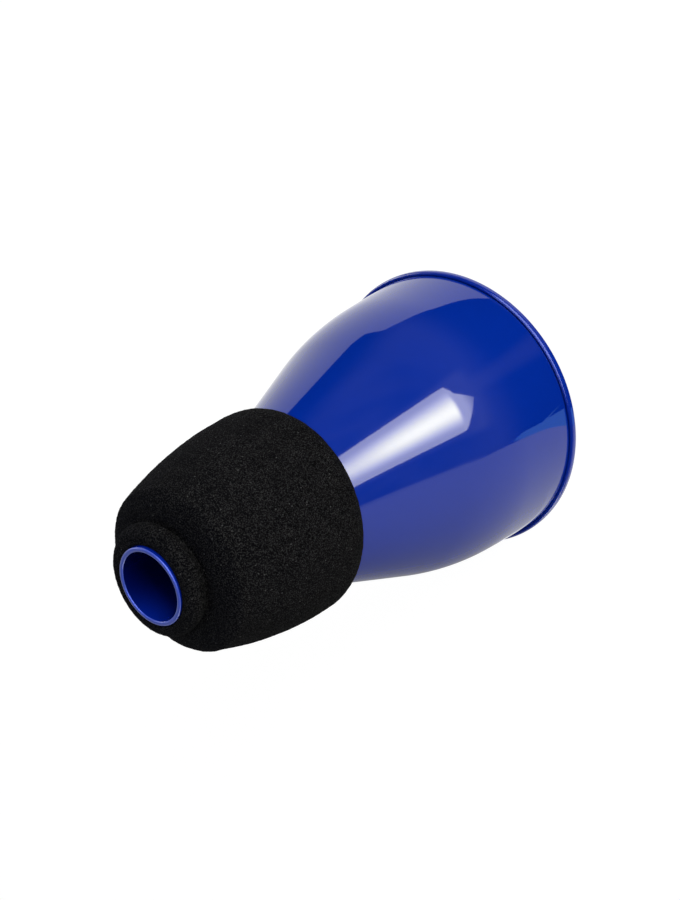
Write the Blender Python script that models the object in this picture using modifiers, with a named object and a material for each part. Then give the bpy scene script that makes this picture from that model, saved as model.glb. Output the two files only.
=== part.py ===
"""Trombone practice mute, standing on its wide end.

Metres, +Z up. The origin is the centre of the rest face under the end cap, and the mouth of the
throat tube is the highest point. Every piece is turned about Z. An outline is a list of
(radius, height) points that runs down the outer side, across the bottom and up the inner side.
"""

import math

import bpy

# Shared sizes
OVERALL_LENGTH = 0.183
FIT_GAP = 0.0003
ROUND_STEPS = 72
SMALL_ROUND_STEPS = 32
ARC_POINTS = 5

# End cap: a flanged disc whose spigot plugs the shell
FLANGE_RADIUS = 0.062
FLANGE_THICKNESS = 0.003
FLANGE_EDGE_ROUND = 0.0008
FLANGE_OVERHANG = 0.0019
REST_RIM_WIDTH = 0.009
RECESS_DEPTH = 0.0012
RECESS_SLOPE_WIDTH = 0.0012
PANEL_THICKNESS = 0.0025
SPIGOT_HEIGHT = 0.009
SPIGOT_WALL = 0.0022
SPIGOT_CHAMFER = 0.0006
BOSS_HEIGHT = 0.008
BOSS_WALL = 0.0018

# Shell: a neck sleeve, a straight cone, a soft bend and a nearly cylindrical skirt
SHELL_WALL = 0.0022
SKIRT_SLOPE = 0.075
BEND_HEIGHT = 0.0472
BEND_RADIUS = 0.137
BEND_POINTS = 9
CONE_TOP_SETBACK = 0.0268
NECK_WALL = 0.0018
NECK_SETBACK = 0.006

# Throat tube: carries the sound and the breath into the chamber
THROAT_BORE_RADIUS = 0.0132
THROAT_WALL = 0.0018
THROAT_LENGTH = 0.075
THROAT_LIP_OUTER_ROUND = 0.0007
THROAT_LIP_INNER_ROUND = 0.0004

# Foam nose ring: a rounded bead round the throat tube, with a waist behind it
NOSE_SETBACK = 0.0007
NOSE_WALL = 0.0059
NOSE_BEAD_RADIUS = 0.0042
NOSE_WAIST_DEPTH = 0.0022
NOSE_BEAD_POINTS = 11

# Foam collar: the bulb that seals the bell
COLLAR_SETBACK = 0.0103
COLLAR_LENGTH = 0.0642
COLLAR_SHOULDER_REACH = 0.0145
COLLAR_SHOULDER_DROP = 0.0044
COLLAR_CROWN_DROP = 0.0544
COLLAR_THICKNESS = 0.0096
SHOULDER_POINTS = 7
CROWN_POINTS = 8

# Vent tube: lets the breath out through the end cap
VENT_BORE_RADIUS = 0.0035
VENT_WALL = 0.0015
VENT_LENGTH = 0.028

# Damping pad: a foam washer on the end cap, inside the chamber
PAD_THICKNESS = 0.010
PAD_SIDE_CLEARANCE = 0.0005

# Finishes: linear colours and roughness
SHELL_BLUE = (0.004, 0.026, 0.285)
THROAT_BLUE = (0.004, 0.026, 0.24)
VENT_BLACK = (0.012, 0.012, 0.013)
FOAM_BLACK = (0.009, 0.009, 0.0095)
PAD_GREY = (0.03, 0.03, 0.032)
SHELL_ROUGHNESS = 0.12
CAP_ROUGHNESS = 0.15
THROAT_ROUGHNESS = 0.2
VENT_ROUGHNESS = 0.45
FOAM_ROUGHNESS = 0.95

# Meshing
MERGE_DISTANCE = 0.00001
SHARP_ANGLE = math.radians(30)

# Heights and radii that follow from the sizes above
MOUTH_RADIUS = FLANGE_RADIUS - FLANGE_OVERHANG
MOUTH_HEIGHT = FLANGE_THICKNESS + FIT_GAP
THROAT_RADIUS = THROAT_BORE_RADIUS + THROAT_WALL
NECK_BORE_RADIUS = THROAT_RADIUS + FIT_GAP
NECK_RADIUS = NECK_BORE_RADIUS + NECK_WALL
NECK_TOP = OVERALL_LENGTH - NECK_SETBACK
CONE_TOP = OVERALL_LENGTH - CONE_TOP_SETBACK
BEND_CORNER_RADIUS = MOUTH_RADIUS - SKIRT_SLOPE * (BEND_HEIGHT - MOUTH_HEIGHT)
CONE_SLOPE = (BEND_CORNER_RADIUS - NECK_RADIUS) / (CONE_TOP - BEND_HEIGHT)
SKIRT_ANGLE = math.atan(SKIRT_SLOPE)
CONE_ANGLE = math.atan(CONE_SLOPE)
VENT_RADIUS = VENT_BORE_RADIUS + VENT_WALL
BOSS_BORE_RADIUS = VENT_RADIUS + FIT_GAP
BOSS_RADIUS = BOSS_BORE_RADIUS + BOSS_WALL
PANEL_TOP = RECESS_DEPTH + PANEL_THICKNESS
SPIGOT_TOP = FLANGE_THICKNESS + SPIGOT_HEIGHT


def arc(centre, radius, start, end, points):
    """Points on a circle's arc from the start angle to the end angle, both ends included."""
    outline = []
    for step in range(points):
        angle = start + (end - start) * step / (points - 1)
        outline.append((centre[0] + radius * math.cos(angle), centre[1] + radius * math.sin(angle)))
    return outline


def skirt_radius(height, inset):
    """The radius of the shell's skirt, moved square to its face by inset, inwards if positive."""
    radius = BEND_CORNER_RADIUS - SKIRT_SLOPE * (height - BEND_HEIGHT)
    return radius - inset / math.cos(SKIRT_ANGLE)


def cone_radius(height, inset):
    """The radius of the shell's cone, moved square to its face by inset, inwards if positive."""
    radius = BEND_CORNER_RADIUS - CONE_SLOPE * (height - BEND_HEIGHT)
    return radius - inset / math.cos(CONE_ANGLE)


def cone_height(radius, inset):
    """The height at which the cone, moved by inset, has the given radius."""
    return BEND_HEIGHT + (BEND_CORNER_RADIUS - inset / math.cos(CONE_ANGLE) - radius) / CONE_SLOPE


def bend_arc(inset):
    """The bend between cone and skirt, from the cone down to the skirt."""
    tangent = BEND_RADIUS * math.tan((CONE_ANGLE - SKIRT_ANGLE) / 2)
    start_radius = BEND_CORNER_RADIUS + tangent * math.sin(SKIRT_ANGLE)
    start_height = BEND_HEIGHT - tangent * math.cos(SKIRT_ANGLE)
    centre = (
        start_radius - BEND_RADIUS * math.cos(SKIRT_ANGLE),
        start_height - BEND_RADIUS * math.sin(SKIRT_ANGLE),
    )
    return arc(centre, BEND_RADIUS - inset, CONE_ANGLE, SKIRT_ANGLE, BEND_POINTS)


def shell_outline():
    """The shell's wall, from the top of the neck sleeve to the mouth and back up inside."""
    outside = [(NECK_RADIUS, NECK_TOP), (NECK_RADIUS, CONE_TOP)]
    outside += bend_arc(0)
    outside.append((MOUTH_RADIUS, MOUTH_HEIGHT))
    inside = [(NECK_BORE_RADIUS, NECK_TOP)]
    inside.append((NECK_BORE_RADIUS, cone_height(NECK_BORE_RADIUS, SHELL_WALL)))
    inside += bend_arc(SHELL_WALL)
    inside.append((skirt_radius(MOUTH_HEIGHT, SHELL_WALL), MOUTH_HEIGHT))
    return outside + inside[::-1]


def end_cap_outline():
    """The cap: spigot, flange with a rounded edge, rest rim, recessed panel and vent boss."""
    spigot_inset = SHELL_WALL + FIT_GAP
    spigot_foot_radius = skirt_radius(FLANGE_THICKNESS, spigot_inset)
    spigot_top_radius = skirt_radius(SPIGOT_TOP, spigot_inset)
    chamfer_foot = SPIGOT_TOP - SPIGOT_CHAMFER
    edge_centre = FLANGE_RADIUS - FLANGE_EDGE_ROUND
    recess_radius = FLANGE_RADIUS - REST_RIM_WIDTH
    outline = [
        (spigot_top_radius - SPIGOT_CHAMFER, SPIGOT_TOP),
        (skirt_radius(chamfer_foot, spigot_inset), chamfer_foot),
        (spigot_foot_radius, FLANGE_THICKNESS),
    ]
    upper_centre = (edge_centre, FLANGE_THICKNESS - FLANGE_EDGE_ROUND)
    outline += arc(upper_centre, FLANGE_EDGE_ROUND, math.pi / 2, 0, ARC_POINTS)
    outline += arc((edge_centre, FLANGE_EDGE_ROUND), FLANGE_EDGE_ROUND, 0, -math.pi / 2, ARC_POINTS)
    outline += [
        (recess_radius, 0),
        (recess_radius - RECESS_SLOPE_WIDTH, RECESS_DEPTH),
        (BOSS_BORE_RADIUS, RECESS_DEPTH),
        (BOSS_BORE_RADIUS, PANEL_TOP + BOSS_HEIGHT),
        (BOSS_RADIUS, PANEL_TOP + BOSS_HEIGHT),
        (BOSS_RADIUS, PANEL_TOP),
        (spigot_top_radius - SPIGOT_WALL, PANEL_TOP),
        (spigot_top_radius - SPIGOT_WALL, SPIGOT_TOP),
    ]
    return outline


def throat_tube_outline():
    """A plain tube with a rounded lip at its mouth."""
    outer_centre = (THROAT_RADIUS - THROAT_LIP_OUTER_ROUND, OVERALL_LENGTH - THROAT_LIP_OUTER_ROUND)
    inner_centre = (
        THROAT_BORE_RADIUS + THROAT_LIP_INNER_ROUND,
        OVERALL_LENGTH - THROAT_LIP_INNER_ROUND,
    )
    bottom = OVERALL_LENGTH - THROAT_LENGTH
    outline = arc(inner_centre, THROAT_LIP_INNER_ROUND, math.pi, math.pi / 2, ARC_POINTS)
    outline += arc(outer_centre, THROAT_LIP_OUTER_ROUND, math.pi / 2, 0, ARC_POINTS)
    outline += [(THROAT_RADIUS, bottom), (THROAT_BORE_RADIUS, bottom)]
    return outline


def nose_ring_outline():
    """A foam bead that hugs the tube at its front and covers the neck sleeve behind."""
    front = OVERALL_LENGTH - NOSE_SETBACK
    tube_bore = THROAT_RADIUS + FIT_GAP
    sleeve_bore = NECK_RADIUS + FIT_GAP
    bead_centre = (tube_bore + NOSE_WALL - NOSE_BEAD_RADIUS, front - NOSE_BEAD_RADIUS)
    back = OVERALL_LENGTH - COLLAR_SETBACK + FIT_GAP
    waist_radius = tube_bore + NOSE_WALL - NOSE_WAIST_DEPTH
    front_angle = math.acos((tube_bore - bead_centre[0]) / NOSE_BEAD_RADIUS)
    waist_angle = -math.acos((waist_radius - bead_centre[0]) / NOSE_BEAD_RADIUS)
    outline = arc(bead_centre, NOSE_BEAD_RADIUS, front_angle, waist_angle, NOSE_BEAD_POINTS)
    outline += [
        (waist_radius, back),
        (sleeve_bore, back),
        (sleeve_bore, NECK_TOP + FIT_GAP),
        (tube_bore, NECK_TOP + FIT_GAP),
    ]
    return outline


def collar_outline():
    """A foam bulb: rounded shoulder, long swelling side, rounded back edge, bore on the cone."""
    front = OVERALL_LENGTH - COLLAR_SETBACK
    back = front - COLLAR_LENGTH
    neck_bore = NECK_RADIUS + FIT_GAP
    shoulder_radius = neck_bore + COLLAR_SHOULDER_REACH
    shoulder_height = front - COLLAR_SHOULDER_DROP
    crown_height = front - COLLAR_CROWN_DROP
    crown_radius = cone_radius(crown_height, -FIT_GAP) + COLLAR_THICKNESS
    bore_back = cone_radius(back, -FIT_GAP)
    outline = []
    for step in range(1, SHOULDER_POINTS):
        angle = math.pi / 2 * step / SHOULDER_POINTS
        radius = neck_bore + COLLAR_SHOULDER_REACH * math.sin(angle)
        outline.append((radius, shoulder_height + COLLAR_SHOULDER_DROP * math.cos(angle)))
    for step in range(CROWN_POINTS):
        share = 1 - step / CROWN_POINTS
        radius = crown_radius - (crown_radius - shoulder_radius) * share**2
        outline.append((radius, crown_height + (shoulder_height - crown_height) * share))
    for step in range(SHOULDER_POINTS + 1):
        angle = math.pi / 2 * step / SHOULDER_POINTS
        radius = bore_back + (crown_radius - bore_back) * math.cos(angle)
        outline.append((radius, crown_height - (crown_height - back) * math.sin(angle)))
    outline += [(neck_bore, cone_height(neck_bore, -FIT_GAP)), (neck_bore, front)]
    return outline


def vent_tube_outline():
    """A small plain tube, flush with the recess below and open inside the chamber above."""
    top = RECESS_DEPTH + VENT_LENGTH
    return [
        (VENT_RADIUS, top),
        (VENT_RADIUS, RECESS_DEPTH),
        (VENT_BORE_RADIUS, RECESS_DEPTH),
        (VENT_BORE_RADIUS, top),
    ]


def damping_pad_outline():
    """A washer between the spigot and the boss, lying on the panel."""
    spigot_inner = skirt_radius(SPIGOT_TOP, SHELL_WALL + FIT_GAP) - SPIGOT_WALL
    outer = spigot_inner - PAD_SIDE_CLEARANCE
    inner = BOSS_RADIUS + PAD_SIDE_CLEARANCE
    bottom = PANEL_TOP + FIT_GAP
    top = bottom + PAD_THICKNESS
    return [(outer, top), (outer, bottom), (inner, bottom), (inner, top)]


def finish(name, colour, roughness):
    """A non-metallic Principled material."""
    material = bpy.data.materials.new(name)
    material.use_nodes = True
    shader = material.node_tree.nodes["Principled BSDF"]
    shader.inputs["Base Color"].default_value = (*colour, 1)
    shader.inputs["Roughness"].default_value = roughness
    shader.inputs["Metallic"].default_value = 0
    return material


def turned(name, outline, steps, material, collection):
    """One closed piece: the outline screwed once round Z, with its sharp edges kept sharp."""
    profile = bpy.data.meshes.new(name + "_profile")
    points = [(radius, 0, height) for radius, height in outline]
    edges = [(index, (index + 1) % len(points)) for index in range(len(points))]
    profile.from_pydata(points, edges, [])
    piece = bpy.data.objects.new(name, profile)
    collection.objects.link(piece)
    screw = piece.modifiers.new("Screw", "SCREW")
    screw.axis = "Z"
    screw.angle = math.tau
    screw.steps = steps
    screw.render_steps = steps
    screw.use_merge_vertices = True
    screw.merge_threshold = MERGE_DISTANCE
    bpy.context.view_layer.update()
    evaluated = piece.evaluated_get(bpy.context.evaluated_depsgraph_get())
    solid = bpy.data.meshes.new_from_object(evaluated)
    solid.name = name
    piece.modifiers.clear()
    piece.data = solid
    bpy.data.meshes.remove(profile)
    solid.shade_smooth()
    solid.set_sharp_from_angle(angle=SHARP_ANGLE)
    solid.materials.append(material)
    return piece


def main():
    """Clears the scene and models the seven pieces in their own collection."""
    for leftover in list(bpy.data.objects):
        bpy.data.objects.remove(leftover, do_unlink=True)
    mute = bpy.data.collections.new("trombone_practice_mute")
    bpy.context.scene.collection.children.link(mute)

    shell_plastic = finish("shell_plastic", SHELL_BLUE, SHELL_ROUGHNESS)
    cap_plastic = finish("cap_plastic", SHELL_BLUE, CAP_ROUGHNESS)
    throat_plastic = finish("throat_plastic", THROAT_BLUE, THROAT_ROUGHNESS)
    vent_plastic = finish("vent_plastic", VENT_BLACK, VENT_ROUGHNESS)
    collar_foam = finish("collar_foam", FOAM_BLACK, FOAM_ROUGHNESS)
    nose_foam = finish("nose_foam", FOAM_BLACK, FOAM_ROUGHNESS)
    pad_foam = finish("pad_foam", PAD_GREY, FOAM_ROUGHNESS)

    turned("body_shell", shell_outline(), ROUND_STEPS, shell_plastic, mute)
    turned("end_cap", end_cap_outline(), ROUND_STEPS, cap_plastic, mute)
    turned("throat_tube", throat_tube_outline(), ROUND_STEPS, throat_plastic, mute)
    turned("foam_nose_ring", nose_ring_outline(), ROUND_STEPS, nose_foam, mute)
    turned("foam_collar", collar_outline(), ROUND_STEPS, collar_foam, mute)
    turned("vent_tube", vent_tube_outline(), SMALL_ROUND_STEPS, vent_plastic, mute)
    turned("damping_pad", damping_pad_outline(), ROUND_STEPS, pad_foam, mute)


main()
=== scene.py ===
"""Looks of a trombone practice mute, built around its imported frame.

Metres, +Z up. The mute stands on its wide end with the mouth of its throat tube on top. Every piece
is turned about Z, so each starts as an outline of (radius, height) points that is spun once round
the axis. The foam pieces are then pushed about point by point, because real foam is never true.
"""

import logging
import math
from collections.abc import Callable, Sequence
from dataclasses import dataclass, field
from enum import Enum
from functools import partial, reduce

import bmesh
import bpy
from mathutils import Matrix, Vector, noise


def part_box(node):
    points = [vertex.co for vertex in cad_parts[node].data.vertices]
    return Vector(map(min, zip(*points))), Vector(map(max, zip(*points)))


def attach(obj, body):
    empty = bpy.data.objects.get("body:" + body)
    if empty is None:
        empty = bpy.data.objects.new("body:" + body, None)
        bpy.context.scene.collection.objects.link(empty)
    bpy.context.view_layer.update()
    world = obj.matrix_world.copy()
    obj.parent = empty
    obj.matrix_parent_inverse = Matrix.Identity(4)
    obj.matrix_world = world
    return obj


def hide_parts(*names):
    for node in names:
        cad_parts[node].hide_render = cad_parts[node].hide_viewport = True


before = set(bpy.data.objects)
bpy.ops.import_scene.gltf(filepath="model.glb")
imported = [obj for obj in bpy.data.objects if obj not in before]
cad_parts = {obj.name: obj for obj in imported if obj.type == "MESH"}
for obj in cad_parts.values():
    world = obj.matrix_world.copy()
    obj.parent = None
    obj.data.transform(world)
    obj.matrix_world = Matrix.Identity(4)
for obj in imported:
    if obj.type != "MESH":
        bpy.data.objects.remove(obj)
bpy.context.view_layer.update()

Point = tuple[float, float]
Span = tuple[float, float]
Spot = tuple[float, float, float]
Corners = tuple[Spot, ...]
Colour = tuple[float, float, float]
Socket = bpy.types.NodeSocket
Shaper = Callable[[Vector, Vector], Vector]

BODY = "root"
HALF_PI = math.pi / 2
SHARP_ANGLE = math.radians(38)
SAME_SPOT = 1e-7
CORNER_PIECES = 6
WHITE: Colour = (1.0, 1.0, 1.0)
PLASTIC_IOR = 1.5
RISING: Span = (0.0, 1.0)
FALLING: Span = (1.0, 0.0)

log = logging.getLogger("practice_mute")


class Turns(Enum):
    """How many steps a spin takes round the axis."""

    SMALL = 96
    SMOOTH = 192
    NOSE_GRAIN = 256
    COLLAR_GRAIN = 360


class Seen(Enum):
    """Which rays meet a stage piece."""

    BY_ALL = "all"
    BY_GLOSS = "gloss"


@dataclass(frozen=True)
class Drawn:
    """A CAD node's largest radius and its lowest and highest height."""

    radius: float
    low: float
    high: float

    @classmethod
    def measure(cls, node: str) -> "Drawn":
        """Measures a CAD node."""
        least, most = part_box(node)
        return cls(most.x, least.z, most.z)


def measured(node: str) -> Drawn:
    """A dataclass field that is measured on a CAD node when its class is called."""
    return field(default_factory=partial(Drawn.measure, node))


def smooth_step(value: float, low: float, high: float) -> float:
    """A soft ramp from 0 at low to 1 at high."""
    share = min(1.0, max(0.0, (value - low) / (high - low)))
    return share * share * (3 - 2 * share)


def angles(degrees: Span) -> Span:
    """A span of angles in radians."""
    return (math.radians(degrees[0]), math.radians(degrees[1]))


def heading(azimuth: float, elevation: float = 0.0) -> Vector:
    """The way from the mute towards an azimuth and an elevation in degrees, as a vector of length 1."""
    turn, rise = angles((azimuth, elevation))
    return Vector((math.cos(turn) * math.cos(rise), math.sin(turn) * math.cos(rise), math.sin(rise)))


def linked(name: str, data: bpy.types.ID) -> bpy.types.Object:
    """Makes an object at the scene's origin.

    Args:
        name: The object's name.
        data: Its mesh, light or camera.

    Returns:
        The new object.
    """
    made = bpy.data.objects.new(name, data)
    bpy.context.scene.collection.objects.link(made)
    return made


def meshed(name: str, work: bmesh.types.BMesh) -> bpy.types.Object:
    """Makes an object of a bmesh, which is freed.

    Args:
        name: The object's name.
        work: The finished bmesh.

    Returns:
        The new object.
    """
    mesh = bpy.data.meshes.new(name)
    work.to_mesh(mesh)
    work.free()
    return linked(name, mesh)


class Outline:
    """A closed outline of (radius, height) points, drawn run by run."""

    def __init__(self, radius: float, height: float) -> None:
        """Starts the outline at one point."""
        self.points: list[Point] = [(radius, height)]

    def line(self, radius: float, height: float, pieces: int = 1) -> None:
        """Draws a straight run to a point.

        Args:
            radius: Radius of the run's end.
            height: Height of the run's end.
            pieces: How many equal pieces the run has.
        """
        start = self.points[-1]
        for step in range(1, pieces + 1):
            share = step / pieces
            spot = (start[0] + (radius - start[0]) * share, start[1] + (height - start[1]) * share)
            self.points.append(spot)

    def arc(self, centre: Point, size: Point, start: float, end: float, pieces: int) -> None:
        """Draws part of an ellipse.

        Args:
            centre: The ellipse's centre.
            size: Its half width and half height.
            start: Angle of the first point, which is left out where the outline is there already.
            end: Angle of the last point.
            pieces: How many pieces the arc has.
        """
        for step in range(pieces + 1):
            angle = start + (end - start) * step / pieces
            spot = (centre[0] + size[0] * math.cos(angle), centre[1] + size[1] * math.sin(angle))
            if math.dist(spot, self.points[-1]) > SAME_SPOT:
                self.points.append(spot)

    def corner(self, centre: Point, size: float, start: float) -> None:
        """Draws a small quarter round over a corner, clockwise from its first angle."""
        self.arc(centre, (size, size), start, start - HALF_PI, CORNER_PIECES)

    def closed(self) -> list[Point]:
        """The points, without a last one that repeats the first."""
        repeats = math.dist(self.points[0], self.points[-1]) < SAME_SPOT
        return self.points[:-1] if repeats else self.points


def spun(name: str, points: Sequence[Point], turns: Turns, shape: Shaper | None = None) -> bpy.types.Object:
    """Spins a closed outline once round Z into a closed, smooth-shaded piece.

    Args:
        name: The piece's name.
        points: The outline, in order round its section.
        turns: How many steps the spin takes.
        shape: Moves one vertex of the spun mesh, given its place and its normal.

    Returns:
        The new object, at the origin.
    """
    work = bmesh.new()
    ring = [work.verts.new((radius, 0, height)) for radius, height in points]
    edges = [work.edges.new((ring[index - 1], ring[index])) for index in range(len(ring))]
    bmesh.ops.spin(
        work,
        geom=ring + edges,
        cent=(0, 0, 0),
        axis=(0, 0, 1),
        angle=math.tau,
        steps=turns.value,
        use_merge=True,
    )
    bmesh.ops.recalc_face_normals(work, faces=work.faces)
    if shape:
        work.normal_update()
        places = [shape(vertex.co.copy(), vertex.normal.copy()) for vertex in work.verts]
        for vertex, place in zip(work.verts, places):
            vertex.co = place
    piece = meshed(name, work)
    piece.data.shade_smooth()
    piece.data.set_sharp_from_angle(angle=SHARP_ANGLE)
    return piece


def fit(piece: bpy.types.Object, node: str, material: bpy.types.Material) -> bpy.types.Object:
    """Dresses a piece and makes it stand for its CAD node.

    Args:
        piece: The finished piece.
        node: The CAD node that it replaces.
        material: The piece's material.

    Returns:
        The same piece.
    """
    piece.data.materials.append(material)
    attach(piece, BODY)
    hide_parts(node)
    log.info("%s: %d faces", piece.name, len(piece.data.polygons))
    return piece


class NodeSheet:
    """The nodes of a material or of the world, written one call each. Lengths on it are in metres."""

    def __init__(
        self, owner: bpy.types.Material | bpy.types.World, output: str = "ShaderNodeOutputMaterial"
    ) -> None:
        """Clears the owner's nodes and adds its output node.

        Args:
            owner: What the nodes belong to.
            output: Type of its output node.
        """
        self.owner = owner
        owner.use_nodes = True
        self.tree = owner.node_tree
        self.tree.nodes.clear()
        self.output = self.tree.nodes.new(output)
        self.place: Socket | None = None

    def add(self, kind: str, sockets: dict[str | int, object], **settings: object) -> bpy.types.Node:
        """Adds a node.

        Args:
            kind: The node's type.
            sockets: Value or source socket of each input, by name or number.
            **settings: The node's own properties.

        Returns:
            The new node.
        """
        node = self.tree.nodes.new(kind)
        for name, value in settings.items():
            setattr(node, name, value)
        for name, value in sockets.items():
            if isinstance(value, Socket):
                self.tree.links.new(value, node.inputs[name])
            else:
                node.inputs[name].default_value = value
        return node

    def finish(self, shader: bpy.types.Node) -> bpy.types.Material | bpy.types.World:
        """Connects the last shader and hands the owner over."""
        self.tree.links.new(shader.outputs[0], self.output.inputs["Surface"])
        return self.owner

    def coordinates(self) -> Socket:
        """The place on the piece, in its own frame.

        Returns:
            The place, from one node that all patterns share.
        """
        if self.place is None:
            self.place = self.add("ShaderNodeTexCoord", {}).outputs["Object"]
        return self.place

    def stretched(self, height_scale: float) -> Socket:
        """The place with its height scaled, for streaks."""
        sockets = {"Vector": self.coordinates(), "Scale": (1.0, 1.0, height_scale)}
        return self.add("ShaderNodeMapping", sockets).outputs["Vector"]

    def parts(self) -> bpy.types.NodeOutputs:
        """The place's X, Y and Z."""
        return self.add("ShaderNodeSeparateXYZ", {"Vector": self.coordinates()}).outputs

    def axis_distance(self) -> Socket:
        """The distance from the piece's Z axis."""
        flat = {0: self.stretched(0.0)}
        return self.add("ShaderNodeVectorMath", flat, operation="LENGTH").outputs["Value"]

    def maths(self, operation: str, first: object, second: object = 0.0, clamp: bool = False) -> Socket:
        """One sum on two numbers, each a value or a socket."""
        node = self.add("ShaderNodeMath", {0: first, 1: second}, operation=operation, use_clamp=clamp)
        return node.outputs["Value"]

    def times(self, *numbers: object) -> Socket:
        """The product of some numbers."""
        return reduce(partial(self.maths, "MULTIPLY"), numbers)

    def plus(self, *numbers: object) -> Socket:
        """The sum of some numbers."""
        return reduce(partial(self.maths, "ADD"), numbers)

    def above(self, number: Socket, limit: float) -> Socket:
        """1 where a number is above a limit, 0 elsewhere."""
        return self.maths("GREATER_THAN", number, limit)

    def below(self, number: Socket, limit: float) -> Socket:
        """1 where a number is below a limit, 0 elsewhere."""
        return self.maths("LESS_THAN", number, limit)

    def ramp(self, number: Socket, span: Span, ends: Span = RISING) -> Socket:
        """A soft ramp of a number.

        Args:
            number: The number.
            span: Where the ramp starts and ends.
            ends: The results up to its start and from its end on.

        Returns:
            The ramp's value.
        """
        names = ("From Min", "From Max", "To Min", "To Max")
        sockets = {"Value": number, **dict(zip(names, (*span, *ends)))}
        node = self.add("ShaderNodeMapRange", sockets, interpolation_type="SMOOTHSTEP")
        return node.outputs["Result"]

    def cloud(self, size: float, detail: float = 2.0, place: Socket | None = None) -> Socket:
        """Soft noise from 0 to 1, with patches of a size and finer layers, read at a place."""
        sockets = {"Vector": place or self.coordinates(), "Scale": 1 / size, "Detail": detail}
        return self.add("ShaderNodeTexNoise", sockets).outputs["Fac"]

    def cells(self, size: float) -> bpy.types.NodeOutputs:
        """The outputs of a cell pattern of the given cell size."""
        return self.add("ShaderNodeTexVoronoi", {"Vector": self.coordinates(), "Scale": 1 / size}).outputs

    def specks(self, size: float, empty: float, edge: Span) -> Socket:
        """Specks in the middle of cells: 1 there, fading over an edge. A share of the cells stays empty."""
        cells = self.cells(size)
        return self.times(self.above(cells["Color"], empty), self.ramp(cells["Distance"], edge, FALLING))

    def blend(self, share: Socket, first: object, second: object) -> Socket:
        """A colour between two, each given as a colour or a socket."""
        first, second = ((*one, 1) if isinstance(one, tuple) else one for one in (first, second))
        return self.add("ShaderNodeMix", {0: share, 6: first, 7: second}, data_type="RGBA").outputs[2]

    def bump(self, height: Socket, depth: float, below: Socket | None = None) -> Socket:
        """A bumped normal.

        Args:
            height: The relief, from 0 to 1.
            depth: How deep the relief is.
            below: A normal that this one is laid on.

        Returns:
            The normal.
        """
        sockets = {"Height": height, "Distance": depth, "Strength": 1.0}
        if below is not None:
            sockets["Normal"] = below
        return self.add("ShaderNodeBump", sockets).outputs["Normal"]


def tint(colour: Colour, factor: float) -> Colour:
    """A colour made lighter or darker."""
    return tuple(min(1.0, part * factor) for part in colour)


class Finish:
    """What a piece is finished with. Each finish writes its own nodes."""

    def nodes(self, sheet: NodeSheet) -> dict[str, object]:
        """Writes the finish's nodes and returns the shader's sockets."""
        raise NotImplementedError

    def material(self, name: str) -> bpy.types.Material:
        """The finished material, under the given name."""
        sheet = NodeSheet(bpy.data.materials.new(name))
        return sheet.finish(sheet.add("ShaderNodeBsdfPrincipled", self.nodes(sheet)))


@dataclass(frozen=True)
class GlossPlastic(Finish):
    """Moulded plastic with a polished skin: faint orange peel, handling haze and stray dust."""

    colour: Colour
    roughness: float = 0.045
    haze: float = 0.05
    haze_edge: Span = (0.52, 0.74)
    rub_size: float = 0.004
    rub_squash: float = 9.0
    shade_size: float = 0.045
    shade_spread: float = 0.05
    peel_size: float = 0.0042
    peel_depth: float = 0.0000022
    swell_size: float = 0.026
    swell_depth: float = 0.000030
    dust_cell: float = 0.0065
    dust_edge: Span = (0.0132, 0.022)
    dust_free: float = 0.93
    dust_colour: Colour = (0.22, 0.23, 0.27)
    dust_roughness: float = 0.5

    def nodes(self, sheet: NodeSheet) -> dict[str, object]:
        """Writes the plastic's nodes.

        Args:
            sheet: The material's sheet.

        Returns:
            The shader's sockets, so that a richer finish can change some.
        """
        dark = tint(self.colour, 1 - self.shade_spread)
        pale = tint(self.colour, 1 + self.shade_spread)
        shade = sheet.blend(sheet.cloud(self.shade_size, 3.0), dark, pale)
        dust = sheet.specks(self.dust_cell, self.dust_free, self.dust_edge)
        rub = sheet.cloud(self.rub_size, 4.0, sheet.stretched(self.rub_squash))
        smear = sheet.ramp(rub, self.haze_edge, (0.0, self.haze))
        peel = sheet.bump(sheet.cloud(self.peel_size, 1.0), self.peel_depth)
        return {
            "Base Color": sheet.blend(dust, shade, self.dust_colour),
            "Roughness": sheet.plus(smear, self.roughness, sheet.times(dust, self.dust_roughness)),
            "Normal": sheet.bump(sheet.cloud(self.swell_size, 0.0), self.swell_depth, peel),
            "IOR": PLASTIC_IOR,
        }


@dataclass(frozen=True)
class CapPlastic(GlossPlastic):
    """The shell's plastic, with a spark-grained panel inside the rest rim."""

    panel_radius: float = 0.0524
    panel_height: float = 0.0016
    grain_size: float = 0.00045
    grain_depth: float = 0.00002
    panel_roughness: float = 0.38

    def nodes(self, sheet: NodeSheet) -> dict[str, object]:
        """Adds the grained panel to the plastic's nodes.

        Args:
            sheet: The material's sheet.

        Returns:
            The shader's sockets.
        """
        sockets = super().nodes(sheet)
        inside = sheet.below(sheet.axis_distance(), self.panel_radius)
        panel = sheet.times(inside, sheet.below(sheet.parts()["Z"], self.panel_height))
        grain = sheet.times(sheet.cloud(self.grain_size), panel)
        sockets["Normal"] = sheet.bump(grain, self.grain_depth, sockets["Normal"])
        sockets["Roughness"] = sheet.plus(sockets["Roughness"], sheet.times(panel, self.panel_roughness))
        return sockets


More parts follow.
